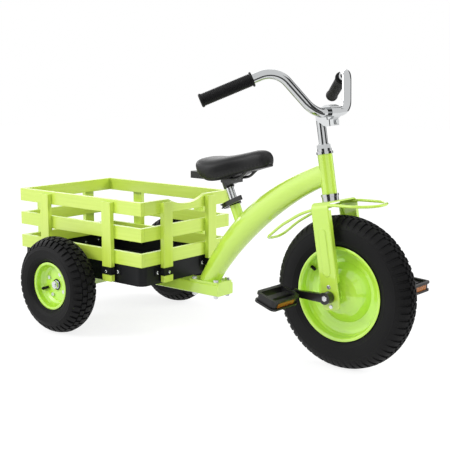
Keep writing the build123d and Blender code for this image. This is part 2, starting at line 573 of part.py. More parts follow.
sleeve = tube((FRONT_X, -40, FRONT_Z), Y_AXIS, 15, 7.04, 80)
save("front_rim", rim_half, other_half - hole, sleeve)
ring = [(106, 13), (112, 21.5), (124, 28), (138, 31), (151, 30.2), (161.5, 26), (170, 17), (173.6, 8), (174.8, 0)]
inner_tube = turned(tube_face(ring, 2.2), FRONT_X, 0, FRONT_Z)
save("front_tube", inner_tube + valve)

# Crank spindle through the wheel, crank arms, their bolts and the pedal spindles.
spindle = cyl((FRONT_X, -67, FRONT_Z), Y_AXIS, 7, 134) + cyl((FRONT_X, -82, FRONT_Z), Y_AXIS, 6, 164)
for s in (-1, 1):
    spindle -= cyl((FRONT_X, s * 60, FRONT_Z), (0, s, 0), 3, 40)
save("crank_spindle", spindle)
crank_bolts = []
pedal_pins = []
for name, s in (("right_crank", -1), ("left_crank", 1)):
    out = (0, s, 0)
    end_x = FRONT_X + s * CRANK_LONG
    boss = cyl((FRONT_X, s * 68, FRONT_Z), out, 14, 20)
    eye = cyl((end_x, s * 76, FRONT_Z), out, 10.5, 12)
    web = [(FRONT_X, 10.5), (end_x - s * 6, 8), (end_x - s * 6, -8), (FRONT_X, -10.5)]
    plan = Plane(origin=(0, s * 77 if s > 0 else -88, FRONT_Z), x_dir=X_AXIS, z_dir=(0, -1, 0))
    web = extrude(plan * outline(web), -11)
    crank = boss + eye + web
    crank -= cyl((FRONT_X, s * 60, FRONT_Z), out, 6.03, 23)
    crank -= cyl((FRONT_X, s * 83, FRONT_Z), out, 7.6, 10)
    crank -= cyl((end_x, s * 70, FRONT_Z), out, 5.53, 30)
    save(name, crank)
    head = hexagon((FRONT_X, s * 83, FRONT_Z), out, 12, 5) + cyl((FRONT_X, s * 68, FRONT_Z), out, 2.96, 15)
    crank_bolts.append(head)
    pin = cyl((end_x, s * 76, FRONT_Z), out, 5.5, 12) + cyl((end_x, s * 88, FRONT_Z), out, 8, 4)
    pedal_pins.append(pin + cyl((end_x, s * 92, FRONT_Z), out, 5, PEDAL_Y1 - 100))
save("crank_bolts", *crank_bolts)
save("pedal_spindles", *pedal_pins)

# Pedals: moulded open cage with two tread rings and a waist between them, a centre barrel sunk
# below the rings, and an amber reflector let into the front and the back of the waist.
pedal_mid = (PEDAL_Y0 + PEDAL_Y1) / 2
pedal_wide = PEDAL_Y1 - PEDAL_Y0
waist_high = PEDAL_T - 10
waist_x = PEDAL_LONG / 2 - PEDAL_WAIST
window_x = PEDAL_LONG / 2 - PEDAL_RING
window_y = pedal_wide / 2 - PEDAL_RING


def pedal_plate(inset, tall):
    """Rounded block of the pedal's outline, inset all round."""
    plan = RectangleRounded(PEDAL_LONG - 2 * inset, pedal_wide - 2 * inset, PEDAL_CORNER - inset)
    return extrude(plan, tall / 2, both=True)


cage = pedal_plate(0, PEDAL_T) - (pedal_plate(0, waist_high) - pedal_plate(PEDAL_WAIST, waist_high))
amber = []
for k in (-1, 1):
    x0, x1 = sorted((k * PEDAL_BARREL, k * window_x))
    cage -= block(x0, x1, -window_y, window_y, -PEDAL_T, PEDAL_T)
    z0, z1 = sorted((k * (PEDAL_T / 2 - PEDAL_SINK), k * PEDAL_T))
    cage -= block(-window_x, window_x, -window_y, window_y, z0, z1)
    x0, x1 = sorted((k * (waist_x - 2), k * waist_x))
    cage -= block(x0, x1, -LENS_LONG / 2, LENS_LONG / 2, -waist_high / 2, waist_high / 2)
    x0, x1 = sorted((k * (waist_x - 2), k * (waist_x + 0.8)))
    amber.append(block(x0, x1, 0.1 - LENS_LONG / 2, LENS_LONG / 2 - 0.1, 0.1 - waist_high / 2, waist_high / 2 - 0.1))
for name, s in (("right", -1), ("left", 1)):
    hang = Pos(FRONT_X + s * CRANK_LONG, s * pedal_mid, FRONT_Z) * Rot(0, PEDAL_PITCH[name], 0)
    bore = cyl((0, -s * (pedal_wide / 2 + 1), 0), (0, s, 0), 5.05, pedal_wide - 5)
    save(name + "_pedal", hang * (cage - bore))
    save(name + "_reflectors", *[hang * one for one in amber])

# Rear wheels: tyre with a centre row of blocks and shoulder lugs, inner tube with valve, two rim halves
# bolted together, hub and bearings.
outer = [(64.5, 25.2), (72, 34), (85, 40), (97, 41), (109, 37.2), (119.5, 28.5), (127, 14.5), (130, 0)]
inner = [(64.5, 20), (74, 28.4), (86, 34), (97, 35), (106.5, 31.4), (115, 23.5), (120.6, 12), (122.6, 0)]
bead = [(58.3, 17.5), (58.3, 23), (60.5, 25.2), (64.5, 25.2), (64.5, 20)]
rows = [(k * 24.5, k * 50, (4.4, 3.5, -0.2), 0.62) for k in (-1, 1)] + [(-8.5, 8.5, (4.4, 4.4, 4.4), 0.66)]
rear_tyre = tyre_body(outer, inner, bead, REAR_LUGS, rows)
rim_line = [(63.5, 27.6), (60.4, 28.6), (57.6, 27.8), (56, 25.2), (55.6, 21), (55, 13), (50.5, 6.5), (44, 2), (17.55, 2)]
ring = [(58.5, 9), (64, 17), (74, 27.6), (86, 33.2), (97, 34.2), (105.5, 30.6), (114, 22.8), (119.6, 11.6), (121.8, 0)]
for name, s in (("right", -1), ("left", 1)):
    at = (REAR_X, s * REAR_Y, REAR_Z)
    out = (0, s, 0)
    save(name + "_tyre", Pos(*at) * rear_tyre)
    near = turned(outline(sheet(rim_line, 2)), *at)
    far = turned(outline(sheet([(r, -y) for r, y in rim_line[::-1]], 2)), *at)
    dx, dz = on_wheel(199, 62)
    ux, uz = on_wheel(199, 1)
    stem_at = (REAR_X + dx, s * (REAR_Y + 8.5), REAR_Z + dz)
    valve = cyl(stem_at, (-ux, 0, -uz), 3.8, 30)
    hole = cyl(stem_at, (-ux, 0, -uz), 4.2, 40) - cyl(at, Y_AXIS, 44, 200) - cyl(at, (0, -1, 0), 44, 200)
    if s > 0:
        near -= hole
    else:
        far -= hole
    rim_bolts = []
    for a in (61, 151, 241, 331):
        dx, dz = on_wheel(a, 33)
        p = (REAR_X + dx, s * REAR_Y, REAR_Z + dz)
        bore = cyl((p[0], p[1] - 10, p[2]), Y_AXIS, 3.05, 20)
        near -= bore
        far -= bore
        head = hexagon((p[0], p[1] + s * 2, p[2]), out, 10, 4)
        rim_bolts.append(head + cyl((p[0], p[1] - s * 8, p[2]), out, 3, 10))
        nut = hexagon((p[0], p[1] - s * 6.5, p[2]), out, 10, 4.5) - cyl((p[0], p[1] - 12, p[2]), Y_AXIS, 3.04, 24)
        rim_bolts.append(nut)
    save(name + "_rim", near, far)
    save(name + "_rim_bolts", *rim_bolts)
    save(name + "_tube", turned(tube_face(ring, 2.2), *at) + valve)
    hub = tube((REAR_X, s * (REAR_Y - 34), REAR_Z), out, 17.5, 15.02, 37)
    hub += tube((REAR_X, s * (REAR_Y - 24), REAR_Z), out, 15.5, 12.5, 17)
    rings = [tube((REAR_X, s * (REAR_Y - 33.5), REAR_Z), out, 15, 8.05, 9.5)]
    rings.append(tube((REAR_X, s * (REAR_Y - 7), REAR_Z), out, 15, 8.05, 9.0))
    save(name + "_hub", hub, *rings)
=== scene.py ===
from math import cos, pi, radians, sin

import bpy
import numpy as np
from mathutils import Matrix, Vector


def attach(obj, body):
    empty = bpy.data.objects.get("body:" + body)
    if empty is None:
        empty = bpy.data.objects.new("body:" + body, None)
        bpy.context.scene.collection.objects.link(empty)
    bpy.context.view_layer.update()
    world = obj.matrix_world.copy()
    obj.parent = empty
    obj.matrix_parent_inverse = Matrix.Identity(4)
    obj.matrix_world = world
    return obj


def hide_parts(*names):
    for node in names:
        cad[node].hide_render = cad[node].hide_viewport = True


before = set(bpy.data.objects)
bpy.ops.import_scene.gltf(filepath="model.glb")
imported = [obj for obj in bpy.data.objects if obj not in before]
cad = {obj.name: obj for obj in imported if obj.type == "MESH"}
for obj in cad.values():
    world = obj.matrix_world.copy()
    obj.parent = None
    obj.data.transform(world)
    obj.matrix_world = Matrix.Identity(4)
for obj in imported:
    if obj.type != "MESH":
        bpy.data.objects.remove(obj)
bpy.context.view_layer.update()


# Frame: the head tube, curved backbone, seat tube, foot plate, chassis beam and axle cross
# tube are mild steel, welded or bolted together. They are stove-enamelled in gloss lime, which
# gives clear soft reflections and the very slight ripple of sprayed enamel.
def linear(code):
    """sRGB hex colour as linear RGBA: c / 12.92 in the toe, ((c + 0.055) / 1.055) ** 2.4 above it."""
    c = np.array([int(code[i:i + 2], 16) for i in (1, 3, 5)]) / 255
    c = np.where(c <= 0.04045, c / 12.92, ((c + 0.055) / 1.055) ** 2.4)
    return (*c, 1.0)


def add(tree, kind, inputs=(), **settings):
    """Adds one node: settings are its own properties, inputs give a socket a value or a link."""
    node = tree.nodes.new(kind)
    for key, value in settings.items():
        setattr(node, key, value)
    for key, value in dict(inputs).items():
        if isinstance(value, bpy.types.NodeSocket):
            tree.links.new(value, node.inputs[key])
        else:
            node.inputs[key].default_value = value
    return node


def begin(name):
    """A new material with an empty node tree, and its Object coordinates in metres."""
    material = bpy.data.materials.new(name)
    material.use_nodes = True
    tree = material.node_tree
    tree.nodes.clear()
    return material, tree, add(tree, "ShaderNodeTexCoord").outputs["Object"]


def wear(material, *names):
    """Puts one material on CAD nodes."""
    for name in names:
        mesh = cad[name].data
        mesh.materials.clear()
        mesh.materials.append(material)


MM = 0.001
ENAMEL_CLOUD = 150 * MM
ENAMEL_RIPPLE = 6 * MM
ENAMEL_RIPPLE_DEEP = 0.4 * MM


def enamel(name, low, high):
    """Gloss stove enamel: one wide noise drifts between two close colours, a finer one ripples the coat."""
    material, tree, place = begin(name)
    cloud = add(tree, "ShaderNodeTexNoise", {"Vector": place, "Scale": 1 / ENAMEL_CLOUD, "Detail": 2.0})
    tint = add(tree, "ShaderNodeValToRGB", {"Fac": cloud.outputs["Fac"]})
    for stop, at, code in zip(tint.color_ramp.elements, (0.3, 0.7), (low, high)):
        stop.position = at
        stop.color = linear(code)
    ripple = add(tree, "ShaderNodeTexNoise", {"Vector": place, "Scale": 1 / ENAMEL_RIPPLE, "Detail": 1.0})
    peel = add(tree, "ShaderNodeBump", {
        "Height": ripple.outputs["Fac"], "Strength": 0.06, "Distance": ENAMEL_RIPPLE_DEEP})
    gloss = add(tree, "ShaderNodeBsdfPrincipled", {
        "Base Color": tint.outputs["Color"], "Roughness": 0.36, "IOR": 1.5, "Specular IOR Level": 0.65,
        "Coat Weight": 1.0, "Coat Roughness": 0.08, "Coat IOR": 1.7, "Normal": peel.outputs["Normal"]})
    add(tree, "ShaderNodeOutputMaterial", {"Surface": gloss.outputs["BSDF"]})
    return material


lime_enamel = enamel("lime_enamel_on_steel", "#B6DB3E", "#BEE148")
wear(lime_enamel, "head_tube", "backbone_tube", "seat_tube", "foot_plate", "chassis_beam", "axle_cross_tube")

# Crate boards and posts: planed softwood, dipped in the same lime colour. The paint sinks into
# the grain, so the boards are a little yellower and streakier than the steel, with a low sheen.
# The grain is drawn wider than pine has it, so that it shows.
GRAIN_WIDE = 5 * MM
GRAIN_LONG = 160 * MM
GRAIN_DEEP = 0.6 * MM


def painted_board(name, along):
    """Painted softwood with its grain along one axis: noise squeezed across the grain."""
    material, tree, place = begin(name)
    scale = [1 / GRAIN_LONG if k == along else 1 / GRAIN_WIDE for k in range(3)]
    squeezed = add(tree, "ShaderNodeMapping", {"Vector": place, "Scale": scale}).outputs["Vector"]
    grain = add(tree, "ShaderNodeTexNoise", {"Vector": squeezed, "Scale": 1.0, "Detail": 4.0})
    tint = add(tree, "ShaderNodeValToRGB", {"Fac": grain.outputs["Fac"]})
    for stop, at, code in zip(tint.color_ramp.elements, (0.25, 0.75), ("#BFDA40", "#C9E24E")):
        stop.position = at
        stop.color = linear(code)
    raised = add(tree, "ShaderNodeBump", {
        "Height": grain.outputs["Fac"], "Strength": 0.25, "Distance": GRAIN_DEEP})
    paint = add(tree, "ShaderNodeBsdfPrincipled", {
        "Base Color": tint.outputs["Color"], "Roughness": 0.5, "IOR": 1.48, "Specular IOR Level": 0.9,
        "Coat Weight": 0.7, "Coat Roughness": 0.22, "Coat IOR": 1.75, "Normal": raised.outputs["Normal"]})
    add(tree, "ShaderNodeOutputMaterial", {"Surface": paint.outputs["BSDF"]})
    return material


wear(painted_board("lime_painted_pine_sides", 0), "left_slats", "right_slats")
wear(painted_board("lime_painted_pine_ends", 1), "front_slats", "rear_slats")
wear(painted_board("lime_painted_pine_posts", 2), "side_posts", "end_posts")

# Cargo tray and strap brackets: pressed steel in satin black powder coat, which has a fine
# pebbled skin and a slightly cool sheen. The pebble is drawn coarser than it is, so that it shows.
POWDER_GRAIN = 2.5 * MM
POWDER_DEEP = 0.3 * MM


def black_skin(name, shades, grain, deep, detail, strength, sheen):
    """Black coat or moulding: one noise, a grain across, sets both the shade and the dents in the skin.
    sheen holds the other settings of the surface."""
    material, tree, place = begin(name)
    pebble = add(tree, "ShaderNodeTexNoise", {"Vector": place, "Scale": 1 / grain, "Detail": detail})
    shade = add(tree, "ShaderNodeValToRGB", {"Fac": pebble.outputs["Fac"]})
    for stop, code in zip(shade.color_ramp.elements, shades):
        stop.color = linear(code)
    dents = add(tree, "ShaderNodeBump", {
        "Height": pebble.outputs["Fac"], "Strength": strength, "Distance": deep})
    skin = add(tree, "ShaderNodeBsdfPrincipled", {
        "Base Color": shade.outputs["Color"], "Normal": dents.outputs["Normal"], **sheen})
    add(tree, "ShaderNodeOutputMaterial", {"Surface": skin.outputs["BSDF"]})
    return material


black_powder = black_skin(
    "black_powder_coat", ("#0C0D0F", "#141518"), POWDER_GRAIN, POWDER_DEEP, detail=2.0, strength=0.2,
    sheen={"Roughness": 0.4, "IOR": 1.5, "Specular IOR Level": 0.22})
wear(black_powder, "cargo_tray", "strap_brackets")

# Bolts, nuts, axle, bearings, steerer and seat post: bright zinc-plated steel, turned or rolled
# and then plated in a bath. The plating has a faint mottle, which makes its polish uneven.
ZINC_MOTTLE = 1.5 * MM


def plated(name, colour, mottle, brightest, dullest):
    """Plated steel of one colour: a noise, a mottle across, sets its roughness between two values."""
    material, tree, place = begin(name)
    haze = add(tree, "ShaderNodeTexNoise", {"Vector": place, "Scale": 1 / mottle, "Detail": 2.0})
    polish = add(tree, "ShaderNodeMapRange", {
        "Value": haze.outputs["Fac"], "To Min": brightest, "To Max": dullest})
    plate = add(tree, "ShaderNodeBsdfPrincipled", {
        "Base Color": linear(colour), "Metallic": 1.0, "Roughness": polish.outputs["Result"]})
    add(tree, "ShaderNodeOutputMaterial", {"Surface": plate.outputs["BSDF"]})
    return material


zinc = plated("zinc_plated_steel", "#D9DBDC", ZINC_MOTTLE, brightest=0.16, dullest=0.34)
wear(zinc, "strap_bolts", "frame_bolts", "rear_axle", "axle_hardware", "bearing_bolts", "left_rim_bolts",
     "right_rim_bolts", "spindle_bearings", "crank_spindle", "crank_bolts", "pedal_spindles", "stem_bolts",
     "steerer_tube", "seat_post")


# Tyres: moulded black rubber on a rounded carcass, held on the rim by their beads. The rear pair
# have chunky knobs in five staggered rows, and the front one has fine middle blocks with long
# shoulder lugs. The rubber is dull and nearly black, with a faint grit drawn coarser than it is.
RUBBER_BLOOM = 50 * MM
RUBBER_GRIT = 3 * MM
RUBBER_DEEP = 0.4 * MM


def moulded_rubber(name, shades, bloom, grit, deep, sheen):
    """Black rubber: a wide noise clouds its shade like bloom, and a fine one dents it like grit.
    sheen holds the other settings of the surface."""
    material, tree, place = begin(name)
    cloud = add(tree, "ShaderNodeTexNoise", {"Vector": place, "Scale": 1 / bloom, "Detail": 3.0})
    shade = add(tree, "ShaderNodeValToRGB", {"Fac": cloud.outputs["Fac"]})
    for stop, code in zip(shade.color_ramp.elements, shades):
        stop.color = linear(code)
    fine = add(tree, "ShaderNodeTexNoise", {"Vector": place, "Scale": 1 / grit, "Detail": 2.0})
    dents = add(tree, "ShaderNodeBump", {"Height": fine.outputs["Fac"], "Strength": 0.15, "Distance": deep})
    skin = add(tree, "ShaderNodeBsdfPrincipled", {
        "Base Color": shade.outputs["Color"], "Normal": dents.outputs["Normal"], **sheen})
    add(tree, "ShaderNodeOutputMaterial", {"Surface": skin.outputs["BSDF"]})
    return material


tyre_rubber = moulded_rubber(
    "moulded_tyre_rubber", ("#09090A", "#101011"), RUBBER_BLOOM, RUBBER_GRIT, RUBBER_DEEP,
    sheen={"Roughness": 0.6, "IOR": 1.5, "Specular IOR Level": 0.2})


def surface(name, points, round_u, round_v, material):
    """Mesh of quads over a grid of points (u, v, 3); round_u and round_v join the last row to the first.
    A tube that is round only along v is closed by one face over each end."""
    nu, nv = points.shape[:2]
    index = np.arange(nu * nv).reshape(nu, nv)
    a = np.vstack([index, index[:1]]) if round_u else index
    a = np.hstack([a, a[:, :1]]) if round_v else a
    quads = np.stack([a[:-1, :-1], a[1:, :-1], a[1:, 1:], a[:-1, 1:]], axis=-1).reshape(-1, 4)
    mesh = bpy.data.meshes.new(name)
    ends = [index[0], index[-1][::-1]] if round_v and not round_u else []
    mesh.from_pydata(points.reshape(-1, 3), [], quads.tolist() + [end.tolist() for end in ends])
    mesh.polygons.foreach_set("use_smooth", np.ones(len(quads) + len(ends), bool))
    mesh.materials.append(material)
    mesh.update()
    piece = bpy.data.objects.new(name, mesh)
    bpy.context.scene.collection.objects.link(piece)
    return piece


def smooth(points, at):
    """Natural cubic spline through the points, read at fractions of its chord length: the second
    derivatives are solved so that the slope is continuous, and are zero at both ends."""
    p = np.array(points, float)
    t = np.concatenate([[0.0], np.cumsum(np.linalg.norm(np.diff(p, axis=0), axis=1))])
    h = np.diff(t)
    n = len(p)
    system = np.eye(n)
    pull = np.zeros(p.shape)
    i = np.arange(1, n - 1)
    system[i, i - 1] = h[:-1]
    system[i, i] = 2 * (h[:-1] + h[1:])
    system[i, i + 1] = h[1:]
    slope = np.diff(p, axis=0) / h[:, None]
    pull[1:-1] = 6 * np.diff(slope, axis=0)
    bend = np.linalg.solve(system, pull)
    u = np.asarray(at) * t[-1]
    k = np.clip(np.searchsorted(t, u, side="right") - 1, 0, n - 2)
    low = ((t[k + 1] - u) / h[k])[:, None]
    high = 1 - low
    lift = ((low ** 3 - low) * bend[k] + (high ** 3 - high) * bend[k + 1]) * (h[k] ** 2)[:, None] / 6
    return low * p[k] + high * p[k + 1] + lift


# Tread sizes, in mm along the tyre's skin: a block's sloping wall, a side wall ring's flat top and
# its foot, and the widest step between points. A block's end slopes over a share of the pitch.
BLOCK_WALL = 0.9
BLOCK_END = 0.045
RING_FLAT = 0.7
RING_FOOT = 1.6
SKIN_STEP = 4.0
SKIN_SAMPLES = 400
SHARP_TREAD = radians(38)


def tyre(name, centre, outer, lining, count, rows, rings, depth, fade):
    """Closed ring: a profile (radius, offset) turned about the wheel's Y axis, cut down along its normal
    by the tread. rows are (from, to, shift, fill) in mm of arc from the crown: each is a band of blocks
    that fill a share of the pitch, shifted by part of a pitch. rings are (place, height) of raised lines
    on the side wall. The grooves are depth mm deep and run out over the arc that fade gives."""
    half = smooth(outer[::-1], np.linspace(0, 1, SKIN_SAMPLES))
    length = np.concatenate([[0.0], np.cumsum(np.linalg.norm(np.diff(half, axis=0), axis=1))])
    stops = [0.0, length[-1]]
    for start, end, shift, fill in rows:
        stops += [start, start - BLOCK_WALL, end, end + BLOCK_WALL]
    for at, high in rings:
        stops += [at - RING_FOOT, at - RING_FLAT, at + RING_FLAT, at + RING_FOOT]
    stops = np.array(sorted(s for s in stops if s >= 0))
    stops = np.unique(np.concatenate([stops, np.arange(0, length[-1], SKIN_STEP)]).round(3))
    phases = [0.0, 0.5]
    for start, end, shift, fill in rows:
        for side in ((1 - fill) / 2, (1 + fill) / 2):
            phases += [(side + shift) % 1, (side + shift - np.sign(0.5 - side) * BLOCK_END) % 1]
    phases = np.unique(np.array(phases).round(4))
    turn = (np.arange(count)[:, None] + phases[None]).ravel() / count
    phase = np.tile(phases, count)
    cut = np.ones((len(turn), len(stops))) * depth
    cut *= np.clip((fade[1] - stops) / (fade[1] - fade[0]), 0, 1)[None]
    for start, end, shift, fill in rows:
        near = np.abs((phase - shift) % 1 - 0.5)
        along = np.clip((fill / 2 + BLOCK_END - near) / BLOCK_END, 0, 1)
        across = end + BLOCK_WALL - stops
        if start > 0:
            across = np.minimum(across, stops - start + BLOCK_WALL)
        cut *= 1 - along[:, None] * np.clip(across / BLOCK_WALL, 0, 1)[None]
    for at, high in rings:
        cut -= (high * np.clip((RING_FOOT - np.abs(stops - at)) / (RING_FOOT - RING_FLAT), 0, 1))[None]
    r = np.interp(stops, length, half[:, 0])
    s = np.interp(stops, length, half[:, 1])
    tangent = np.gradient(np.stack([r, s], -1), stops, axis=0)
    tangent /= np.linalg.norm(tangent, axis=1)[:, None]
    outward = np.stack([tangent[:, 1], -tangent[:, 0]], -1)
    r = r[None] - cut * outward[:, 0]
    s = s[None] - cut * outward[:, 1]
    inner = np.array(lining, float)
    r_in = np.repeat(inner[None, :, 0], len(turn), 0)
    s_in = np.repeat(inner[None, :, 1], len(turn), 0)
    radius = np.hstack([r[:, ::-1], r[:, 1:], r_in[:, ::-1], r_in[:, 1:]]) * MM
    offset = np.hstack([-s[:, ::-1], s[:, 1:], s_in[:, ::-1], -s_in[:, 1:]]) * MM
    angle = 2 * pi * turn[:, None]
    ahead = centre[0] + radius * np.cos(angle)
    up = centre[2] + radius * np.sin(angle)
    points = np.stack([ahead, centre[1] + offset, up], -1)
    piece = surface(name, points[:, ::-1], True, True, tyre_rubber)
    piece.data.set_sharp_from_angle(angle=SHARP_TREAD)
    return piece


REAR_AXLE = (-0.351, 0.0, 0.130)
REAR_WHEEL_Y = 0.231
REAR_OUTER = [(58.6, 22.5), (64.5, 25.2), (72, 34), (85, 40), (97, 41), (109, 37.2), (119.5, 28.5)]
REAR_OUTER += [(127, 14.5), (130, 0)]
REAR_LINING = [(122.6, 0), (115, 23.5), (97, 35), (74, 28.4), (60, 19)]
REAR_LUGS = 40
REAR_ROWS = [(0, 8.5, 0.0, 0.66), (11, 22, 0.5, 0.66), (24.5, 45, 0.0, 0.62)]
REAR_RINGS = [(56, 0.7), (74, 0.5)]
REAR_DEPTH = 4.4
REAR_FADE = (34, 50)
for side, sign in (("right", -1), ("left", 1)):
    hub = (REAR_AXLE[0], sign * REAR_WHEEL_Y, REAR_AXLE[2])
    knobby = tyre(f"{side}_knobby_tyre", hub, REAR_OUTER, REAR_LINING, REAR_LUGS, REAR_ROWS, REAR_RINGS,
                  REAR_DEPTH, REAR_FADE)
    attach(knobby, f"{side}_wheel")
    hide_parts(f"{side}_tyre")

FRONT_AXLE = (0.406, 0.0, 0.1825)
FRONT_OUTER = [(106.2, 25.5), (113, 28.5), (122, 34), (138, 37.6), (153, 37), (166, 32.4), (176.5, 21.5)]
FRONT_OUTER += [(181.2, 9), (182.5, 0)]
FRONT_LINING = [(175.6, 0), (171, 17.5), (152, 31), (124, 28.8), (107, 21)]
FRONT_LUGS = 62
FRONT_ROWS = [(0, 3.6, 0.0, 0.62), (5.2, 10.2, 0.5, 0.62), (12, 46, 0.0, 0.6)]
FRONT_RINGS = [(50, 0.7), (78, 0.5), (90, 0.5)]
FRONT_DEPTH = 3.0
FRONT_FADE = (26, 47)
road = tyre("front_lugged_tyre", FRONT_AXLE, FRONT_OUTER, FRONT_LINING, FRONT_LUGS, FRONT_ROWS, FRONT_RINGS,
            FRONT_DEPTH, FRONT_FADE)
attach(road, "front_wheel")
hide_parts("front_tyre")

# Rims: two pressed steel halves clamped or welded back to back, enamelled like the frame, with
# black rubber valves. Their lime is a second, greener copy of the frame's, which paints in the shade of
# their dished faces. The rear hub sleeves are painted too, round bearings with black rubber seals: the paint
# starts at the seal's radius from the axle.
SEAL_RADIUS = 15.05 * MM
# A greener copy of the frame's lime: painted shade for the dished rims.
wear(enamel("lime_enamel_with_painted_shade_on_rims", "#B4E438", "#BCE840"), "front_rim", "left_rim", "right_rim")
wear(tyre_rubber, "front_tube", "left_tube", "right_tube")
hub_paint, tree, place = begin("lime_enamel_round_rubber_seals")
from_axle = add(tree, "ShaderNodeVectorMath", {0: place, 1: REAR_AXLE}, operation="SUBTRACT")
across = add(tree, "ShaderNodeVectorMath", {
    0: from_axle.outputs["Vector"], 1: (1, 0, 1)}, operation="MULTIPLY")
radius = add(tree, "ShaderNodeVectorMath", {0: across.outputs["Vector"]}, operation="LENGTH")
painted = add(tree, "ShaderNodeMath", {
    0: radius.outputs["Value"], 1: SEAL_RADIUS}, operation="GREATER_THAN")
tint = add(tree, "ShaderNodeMix", {
    "Factor": painted.outputs["Value"], "A": linear("#111112"), "B": linear("#B5E048")}, data_type="RGBA")
coat = add(tree, "ShaderNodeBsdfPrincipled", {
    "Base Color": tint.outputs["Result"], "Roughness": 0.4, "IOR": 1.5})
add(tree, "ShaderNodeOutputMaterial", {"Surface": coat.outputs["BSDF"]})
wear(hub_paint, "left_hub", "right_hub")

# Handlebar, stem and headset: steel tube and turned steel, polished and then chrome-plated, which
# gives a bright mirror. A trace of haze softens its reflections here and there.
CHROME_HAZE = 20 * MM
chrome = plated("chrome_plated_steel", "#C2C4C5", CHROME_HAZE, brightest=0.03, dullest=0.09)
wear(chrome, "handlebar", "handlebar_stem", "headset_cups", "headset_cones")


# Grips: soft black rubber sleeves pushed over the ends of the bar. Each is moulded with fine
# rings to hold, a hand stop at the inner end and a rounded bulb with a vent at the outer one.
# The rubber is a little smoother than the tyres'.
def spun(name, start, way, profile, turns, material):
    """Closed ring: a closed profile of (along, radius) in mm, turned about the line from start along way."""
    way = np.array(way) / np.linalg.norm(way)
    side = np.cross(way, (0, 0, 1))
    side /= np.linalg.norm(side)
    up = np.cross(way, side)
    angle = np.linspace(0, 2 * pi, turns, endpoint=False)[:, None, None]
    spoke = np.cos(angle) * side + np.sin(angle) * up
    line = np.array(profile)[None] * MM
    return surface(name, np.array(start) + line[..., :1] * way + line[..., 1:] * spoke, True, True, material)


BAR_TOP = (0.3058, 0.1434, 0.6974)
BAR_END = (0.1876, 0.2579, 0.6297)
GRIP_FROM = 0.056
GRIP_BORE = 11.13
GRIP_RADIUS = 13.3
GRIP_TURNS = 72
HAND_STOP = [(0, GRIP_BORE), (0, 16.2), (0.7, 17), (3.3, 17), (4, 16.2), (4.6, 14), (5.4, 13.4)]
BULB = [(-4, 13.4), (-3, 14.2), (-1.6, 15.4), (0.4, 15.8), (2.2, 15.6), (3.4, 14.6), (4, 12.6), (4, 2.4)]
BULB += [(1, 2.2), (1, GRIP_BORE)]
RIB_HIGH = 0.9
RIB_PITCH = 4.0
RIB_STEP = 0.4
RIBS_FROM = 6.0
RIBS_SHORT_OF_END = 5.0
SHARP_RIB = radians(50)
GRIP_BLOOM = 12 * MM
GRIP_GRIT = 1.2 * MM
GRIP_DEEP = 0.2 * MM
grip_rubber = moulded_rubber(
    "soft_grip_rubber", ("#09090A", "#121213"), GRIP_BLOOM, GRIP_GRIT, GRIP_DEEP,
    sheen={"Roughness": 0.5, "IOR": 1.5, "Specular IOR Level": 0.22})
for side, sign in (("right", -1), ("left", 1)):
    top = np.array(BAR_TOP) * (1, sign, 1)
    end = np.array(BAR_END) * (1, sign, 1)
    way = (end - top) / np.linalg.norm(end - top)
    long = (np.linalg.norm(end - top) - GRIP_FROM) / MM
    along = np.arange(RIBS_FROM, long - RIBS_SHORT_OF_END, RIB_STEP)
    ribs = GRIP_RADIUS + RIB_HIGH * np.abs(np.sin(pi * (along - RIBS_FROM) / RIB_PITCH)) ** 0.5
    profile = np.vstack([HAND_STOP, np.stack([along, ribs], -1), np.array(BULB) + (long, 0)])
    grip = spun(f"{side}_ribbed_grip", top + way * GRIP_FROM, way, profile, GRIP_TURNS, grip_rubber)
    grip.data.set_sharp_from_angle(angle=SHARP_RIB)
    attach(grip, "steering")
    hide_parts(f"{side}_grip")

# Fork and wire guards: the fork is pressed from steel sheet, and the guards are bent from rod and
# welded to its crown. All are enamelled in the frame's lime.
wear(lime_enamel, "fork", "front_guard", "rear_guard")

# Cranks, saddle clamp, seat collar, lever and saddle rails: forged, cast or bent steel under gloss
# black enamel, which has sharp highlights and the same faint ripple as the lime.
BLACK_RIPPLE = 4 * MM
BLACK_RIPPLE_DEEP = 0.3 * MM
black_enamel = black_skin(
    "black_enamel_on_steel", ("#090909", "#0E0E0F"), BLACK_RIPPLE, BLACK_RIPPLE_DEEP, detail=1.0,
    strength=0.08, sheen={"Roughness": 0.28, "IOR": 1.5, "Coat Weight": 0.3, "Coat Roughness": 0.1})
wear(black_enamel, "left_crank", "right_crank", "seat_collar", "quick_release_lever", "saddle_clamp",
     "saddle_rails")

# Pedals and saddle base: black polypropylene, moulded in spark-eroded tools that leave a fine
# satin texture. It is drawn coarser than it is, so that it shows.
SPARK_GRAIN = 1.2 * MM
SPARK_DEEP = 0.2 * MM
black_plastic = black_skin(
    "moulded_black_polypropylene", ("#0A0A0B", "#111112"), SPARK_GRAIN, SPARK_DEEP, detail=2.0, strength=0.2,
    sheen={"Roughness": 0.42, "IOR": 1.49})
wear(black_plastic, "left_pedal", "right_pedal", "saddle_base")
